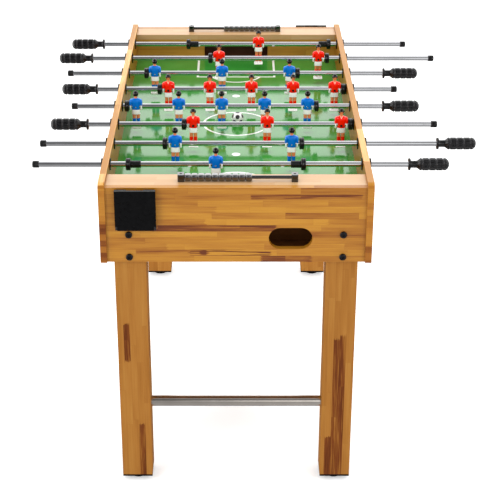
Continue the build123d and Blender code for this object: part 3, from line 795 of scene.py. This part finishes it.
def fittings_mesh(number, goalie, half_span, cap_x):
    """Bumpers, goalie collars and end cap of one rod, in the rod's own coordinates."""
    bm = bmesh.new()
    span = half_span / MM
    bumper = 12.0           # its length
    for side in (-1, 1):
        start = side * (span - bumper / 2) - bumper / 2
        profile = [
            (start, ROD_FIT), (start, 9.0), (start + 0.5, 9.6), (start + 0.5, 12.4),
            (start + 0.9, 13.4), (start + 2.0, 14.3), (start + 5.2, 14.3), (start + 5.6, 13.9),
            (start + 6.4, 13.9), (start + 6.8, 14.3), (start + 10.0, 14.3), (start + 11.1, 13.4),
            (start + 11.5, 12.4), (start + 11.5, 9.6), (start + bumper, 9.0),
            (start + bumper, ROD_FIT),
        ]
        lathe(bm, profile, count=48)
        if goalie:
            collar = side * (span - 23.5) - 11.5

            def knurl(x, angle, c=collar):
                inside = smoothstep(c + 2.0, c + 3.0, x) * (1 - smoothstep(c + 20, c + 21, x))
                return -0.45 * inside * (0.5 + 0.5 * math.sin(angle * 12)) ** 2
            steps = [(collar, ROD_FIT), (collar, 7.6), (collar + 0.6, 8.4), (collar + 1.6, 8.5)]
            steps += [(collar + 2.0 + 0.6 * i, 8.5) for i in range(32)]
            steps += [
                (collar + 21.4, 8.5), (collar + 22.4, 8.4), (collar + 23, 7.6),
                (collar + 23, ROD_FIT),
            ]
            lathe(bm, steps, count=96, bulge=knurl)
    cap = cap_x / MM
    profile = [
        (cap, ROD_FIT), (cap, 7.6), (cap - 0.5, 8.2), (cap - 2.4, 8.25), (cap - 2.8, 7.9),
        (cap - 3.4, 7.9), (cap - 3.8, 8.2), (cap - 12.5, 8.2), (cap - 14.0, 7.7),
        (cap - 15.0, 6.6), (cap - 15.5, 4.6), (cap - 15.5, 0.5),
    ]
    lathe(bm, list(reversed(profile)), count=40)
    return finish_mesh(f"rod_{number}_rubber", bm, [black_rubber], sharp=50)


grip = handle_mesh()
for number, (count, colour) in enumerate(RODS, start=1):
    low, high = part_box(f"rod_{number}_tube")
    axis = (low + high) / 2
    red = colour == "red"
    turn = Matrix.Rotation(math.pi, 4, "Z") if red else Matrix.Identity(4)
    men_low, men_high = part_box(f"rod_{number}_men")
    centre = (men_low.x + men_high.x) / 2
    outermost = (men_high.x - men_low.x) / 2 - FIGURE_HALF_WIDTH
    home = Matrix.Translation((centre, axis.y, axis.z)) @ turn
    handle_x = along_rod(f"rod_{number}_handle", centre, red)[0]
    cap_end, half_span = along_rod(f"rod_{number}_bumpers", centre, red)
    first = None
    for index in range(count):
        along = outermost * (2 * index / (count - 1) - 1) if count > 1 else 0.0
        man = place(f"rod_{number}_figure_{index + 1}", figures[colour],
                    home @ Matrix.Translation((along, 0, 0)), f"rod_{number}")
        first = first or man
    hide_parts(f"rod_{number}_men")
    place(f"rod_{number}_grip", grip, home @ Matrix.Translation((handle_x, 0, 0)),
          f"rod_{number}", stands_for=[f"rod_{number}_handle"])
    rubber = fittings_mesh(number, count == 1, half_span, cap_end + CAP_LENGTH)
    place(f"rod_{number}_rubber", rubber, home, f"rod_{number}",
          stands_for=[f"rod_{number}_bumpers"])


# ------------------------------------------------------------------ scorers and ball

COUNTERS = 10
COUNTER_PITCH = 15.1
COUNTER_HALF = 7.45         # half a counter's length
COUNTER_BORE = 4.08         # radius


def beads_mesh():
    """Rounded counters in a row, from 0 along +X, each bored for the bar it slides on."""
    bm = bmesh.new()
    for index in range(COUNTERS):
        middle = index * COUNTER_PITCH + COUNTER_HALF
        rings = []
        for dx, shrink in ((-COUNTER_HALF, 2.9), (-7.3, 2.2), (-6.9, 1.5), (-6.2, 0.8),
                           (-5.0, 0.25), (-3.4, 0.0), (3.4, 0.0), (5.0, 0.25), (6.2, 0.8),
                           (6.9, 1.5), (7.3, 2.2), (COUNTER_HALF, 2.9)):
            ring = rounded(0, 0, 0, 9.0 - shrink, 7.5 - shrink, 4.2, 40)
            rings.append([Vector(((middle + dx) * MM, p.x, p.y)) for p in ring])
        for dx in (COUNTER_HALF, -COUNTER_HALF):
            bore = rounded(0, 0, 0, COUNTER_BORE, COUNTER_BORE, 2.0, 40)
            rings.append([Vector(((middle + dx) * MM, p.x, p.y)) for p in bore])
        loft(bm, rings, bored=True)
    return finish_mesh("counters", bm, [counter_gloss], sharp=60)


counters = beads_mesh()
for end, turned in (("near", False), ("far", True)):
    low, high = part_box(f"score_beads_{end}")
    middle = (low + high) / 2
    start = high.x if turned else low.x
    matrix = Matrix.Translation((start, middle.y, middle.z))
    if turned:
        matrix = matrix @ Matrix.Rotation(math.pi, 4, "Z")
    place(f"counters_{end}", counters, matrix, f"beads_{end}",
          stands_for=[f"score_beads_{end}"])


def ball_finish():
    """White ball with twelve black patches, one round each corner of an icosahedron."""
    f = Finish("ball_paint", Coat_Weight=0.4, Coat_Roughness=0.1)
    golden = (1 + 5 ** 0.5) / 2
    unit = (1 + golden * golden) ** 0.5
    nearest = 0.0
    for a, b, c in ((0, 1, golden), (0, -1, golden), (1, golden, 0), (-1, golden, 0),
                    (golden, 0, 1), (-golden, 0, 1)):
        node = f.tree.nodes.new("ShaderNodeVectorMath")
        node.operation = "DOT_PRODUCT"
        f.put(f.point, node.inputs[0])
        node.inputs[1].default_value = tuple(k / unit / BALL_RADIUS for k in (a, b, c))
        nearest = f.math("MAXIMUM", nearest, f.math("ABSOLUTE", node.outputs["Value"]))
    patch = f.rescale(nearest, 0.925, 0.94, 0.0, 1.0)
    mottle = f.noise(f.point, 300.0, 2.0, 0.5)
    white = f.ramp(mottle, [(0.3, rgb(236, 236, 232)), (0.7, rgb(250, 250, 248))])
    f.feed("Base Color", f.mix(patch, white, (0.01, 0.01, 0.012, 1)))
    f.feed("Roughness", f.rescale(mottle, 0.3, 0.7, 0.25, 0.35))
    return f.material


low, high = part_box("ball")
bm = bmesh.new()
bmesh.ops.create_icosphere(bm, subdivisions=5, radius=1.0)
for v in bm.verts:
    v.co = v.co.normalized() * BALL_RADIUS
ball = finish_mesh("ball_skin", bm, [ball_finish()])
place("game_ball", ball,
      Matrix.Translation((low + high) / 2) @ Matrix.Rotation(0.5, 4, "X"), "ball",
      stands_for=["ball"])


# ------------------------------------------------------------------ stage, light, camera

bm = bmesh.new()
floor_end, curve, steps = 4.0, 2.5, 16      # the floor curves up into a wall behind the table
profile = [(-6.0, 0.0), (floor_end, 0.0)]
for i in range(1, steps + 1):
    a = math.pi / 2 * i / steps
    profile.append((floor_end + curve * math.sin(a), curve * (1 - math.cos(a))))
profile.append((floor_end + curve, 7.0))
rows = [[bm.verts.new((x, y, z)) for x in (-9.0, 9.0)] for y, z in profile]
for a, b in zip(rows, rows[1:]):
    bm.faces.new((a[0], a[1], b[1], b[0]))
sweep_mesh = finish_mesh("sweep", bm, [])
sweep = bpy.data.objects.new("sweep", sweep_mesh)
bpy.context.scene.collection.objects.link(sweep)
paper = Finish("paper", Roughness=0.9)
paper.feed("Base Color", paper.ramp(paper.noise(paper.point, 3.0), [
    (0.3, (0.90, 0.90, 0.90, 1)), (0.7, (0.93, 0.93, 0.93, 1))]))
paper.shader.inputs["Specular IOR Level"].default_value = 0.0
paper.shader.inputs["Emission Color"].default_value = (1, 1, 1, 1)
paper.shader.inputs["Emission Strength"].default_value = 0.36
sweep_mesh.materials.append(paper.material)
sweep.visible_glossy = False


def area_light(name, location, target, size, size_y, power, glossy=True):
    data = bpy.data.lights.new(name, "AREA")
    data.shape = "RECTANGLE"
    data.size, data.size_y = size, size_y
    data.energy = power
    o = bpy.data.objects.new(name, data)
    bpy.context.scene.collection.objects.link(o)
    o.location = location
    o.rotation_euler = (Vector(target) - Vector(location)).to_track_quat("-Z", "Y").to_euler()
    o.visible_glossy = glossy
    return o


# The overhead light and the low fill are kept out of reflections, like the paper sweep.
area_light("overhead", (0.0, 0.3, 3.6), (0, 0, 0.7), 3.6, 3.0, 60, glossy=False)
area_light("front_left", (-2.6, -3.4, 2.6), (0, 0, 0.6), 0.6, 0.6, 32)
area_light("front_right", (2.8, -3.2, 2.4), (0, 0, 0.6), 0.6, 0.6, 22)

fill = area_light("low_fill", (0.0, -0.05, 0.2), (0, 0.6, 0.12), 0.7, 0.2, 1.6, glossy=False)
fill.visible_camera = False

world = bpy.data.worlds.new("studio")
bpy.context.scene.world = world
world.use_nodes = True
tree = world.node_tree
background = tree.nodes["Background"]
background.inputs["Strength"].default_value = 1.0


def wired(kind, **settings):
    node = tree.nodes.new(kind)
    for key, value in settings.items():
        setattr(node, key, value)
    return node


PEAK = 2.5              # ramps hold brightness as a share of this; it is restored at the end


def studio_ramp(stops, source):
    """Brightness against height, from straight down at 0 to straight up at 1."""
    node = wired("ShaderNodeValToRGB")
    while len(node.color_ramp.elements) < len(stops):
        node.color_ramp.elements.new(0.5)
    for element, (position, value) in zip(node.color_ramp.elements, stops):
        element.position = position
        element.color = (value / PEAK, value / PEAK, value / PEAK, 1.0)
    tree.links.new(source, node.inputs[0])
    return node.outputs[0]


def blend(factor, a, b):
    node = wired("ShaderNodeMix", data_type="RGBA")
    for value, socket in ((factor, node.inputs[0]), (a, node.inputs[6]), (b, node.inputs[7])):
        if isinstance(value, bpy.types.NodeSocket):
            tree.links.new(value, socket)
        else:
            socket.default_value = value
    return node.outputs[2]


way = wired("ShaderNodeSeparateXYZ")
tree.links.new(wired("ShaderNodeTexCoord").outputs["Generated"], way.inputs[0])


def span(source, low, high, to_low, to_high):
    node = wired("ShaderNodeMapRange")
    tree.links.new(source, node.inputs[0])
    for value, socket in zip((low, high, to_low, to_high), list(node.inputs)[1:5]):
        socket.default_value = value
    return node.outputs[0]


up = span(way.outputs[2], -1.0, 1.0, 0.0, 1.0)
behind = studio_ramp([
    (0.0, 0.22), (0.46, 0.4), (0.50, 0.9), (0.52, 2.3), (0.86, 2.3), (0.93, 0.9), (1.0, 0.5),
], up)
front_left = studio_ramp([
    (0.0, 0.5), (0.50, 0.35), (0.60, 0.40), (0.66, 0.16), (0.93, 0.12), (1.0, 0.5),
], up)
front_right = studio_ramp([
    (0.0, 0.7), (0.50, 0.5), (0.60, 1.5), (0.78, 1.5), (0.86, 0.15), (1.0, 0.5),
], up)
ahead = blend(span(way.outputs[0], -0.05, 0.08, 0.0, 1.0), front_left, front_right)
gloss = blend(span(way.outputs[1], -0.12, 0.12, 0.0, 1.0), ahead, behind)
left_box = wired("ShaderNodeMath", operation="MULTIPLY")
tree.links.new(span(way.outputs[0], -0.72, -0.86, 0.0, 1.0), left_box.inputs[0])
tree.links.new(span(way.outputs[2], -0.6, -0.45, 0.0, 1.0), left_box.inputs[1])
gloss = blend(left_box.outputs[0], gloss, (1.6, 1.6, 1.6, 1.0))

# Reflected rays see the studio; all other rays see plain white.
path = wired("ShaderNodeLightPath")
shown = blend(path.outputs["Is Glossy Ray"], (1 / PEAK, 1 / PEAK, 1 / PEAK, 1.0), gloss)
strength = wired("ShaderNodeVectorMath", operation="SCALE")
strength.inputs["Scale"].default_value = PEAK
tree.links.new(shown, strength.inputs[0])
tree.links.new(strength.outputs[0], background.inputs["Color"])

camera_data = bpy.data.cameras.new("camera")
camera_data.lens = 101.58
camera_data.sensor_width = 36.0
camera_data.shift_x = 0.02786
camera_data.clip_end = 50
camera = bpy.data.objects.new("camera", camera_data)
bpy.context.scene.collection.objects.link(camera)
camera.location = (0.0, -3.45672, 2.01285)
camera.rotation_euler = (math.radians(64.20), 0.0, 0.0)
bpy.context.scene.camera = camera
bpy.context.scene.view_settings.view_transform = "Standard"
